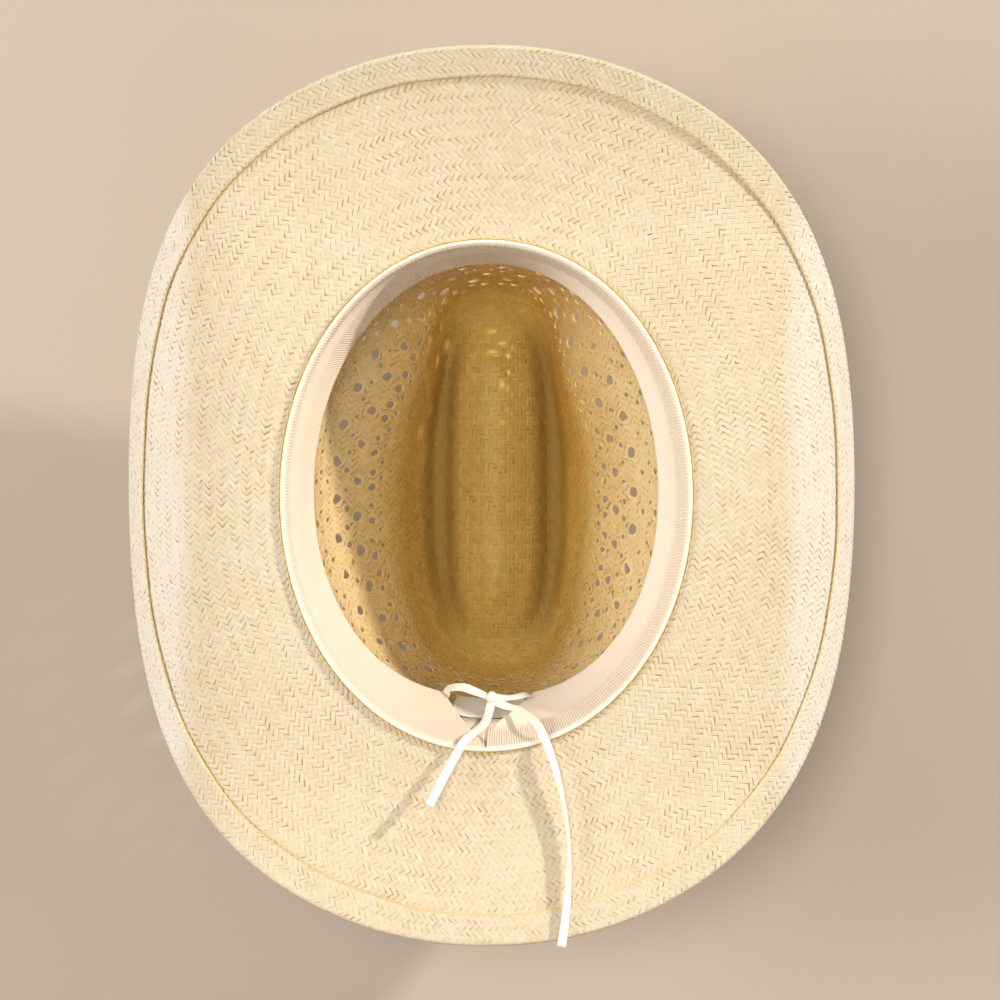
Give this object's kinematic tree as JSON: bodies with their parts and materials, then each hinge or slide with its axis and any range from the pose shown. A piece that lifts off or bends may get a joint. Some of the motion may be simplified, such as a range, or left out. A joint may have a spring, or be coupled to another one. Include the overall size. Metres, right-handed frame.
{
  "type": "cowboy hat",
  "caption": "Woven straw western hat lying on its creased crown, with vents, curled hemmed brim, ribbed sweatband with a tied ribbon, and a buckled outer band.",
  "frame": {"origin": "centre of the hat's outline, on the surface that the crown's ridges stand on", "axes": "+Z out of the head opening (down when worn), +Y to the front of the hat, +X to the wearer's left"},
  "size_m": [0.3032, 0.3594, 0.1342],
  "materials": {
    "straw": "satin woven straw",
    "grosgrain": "ribbed matt",
    "satin_ribbon": "satin",
    "thread": "matt",
    "label": "satin, blank",
    "leather": "semi-matt",
    "buckle_metal": "polished, engraved",
    "spring_wire": "drawn"
  },
  "bodies": {
    "hat": {"crown": "straw", "brim": "straw", "brim_hem": "straw", "brim_wire": "spring_wire", "hem_stitching": "thread", "sweatband": "grosgrain", "sweatband_casing": "grosgrain", "sweatband_reed": "grosgrain", "sweatband_stitching": "thread", "draw_ribbon": "satin_ribbon", "size_label": "label", "tie_knot": "satin_ribbon", "tie_lead_left": "satin_ribbon", "tie_lead_right": "satin_ribbon", "tie_tail_left": "satin_ribbon", "tie_tail_right": "satin_ribbon", "hatband": "leather", "hatband_tongue": "leather", "buckle_frame": "buckle_metal", "hatband_tip": "buckle_metal"},
    "prong": {"buckle_prong": "buckle_metal"},
    "keeper": {"hatband_keeper": "buckle_metal"}
  },
  "joints": [
    {"name": "prong_swing", "type": "hinge", "parent": "hat", "child": "prong", "pos_m": [0.08792, -0.01359, 0.09743], "axis": [0.1845, -0.0275, 0.9824], "range_deg": [0, 100]},
    {"name": "keeper_slide", "type": "slide", "parent": "hat", "child": "keeper", "axis": [-0.2912, -0.9567, 0], "range_m": [-0.004, 0.004]}
  ]
}
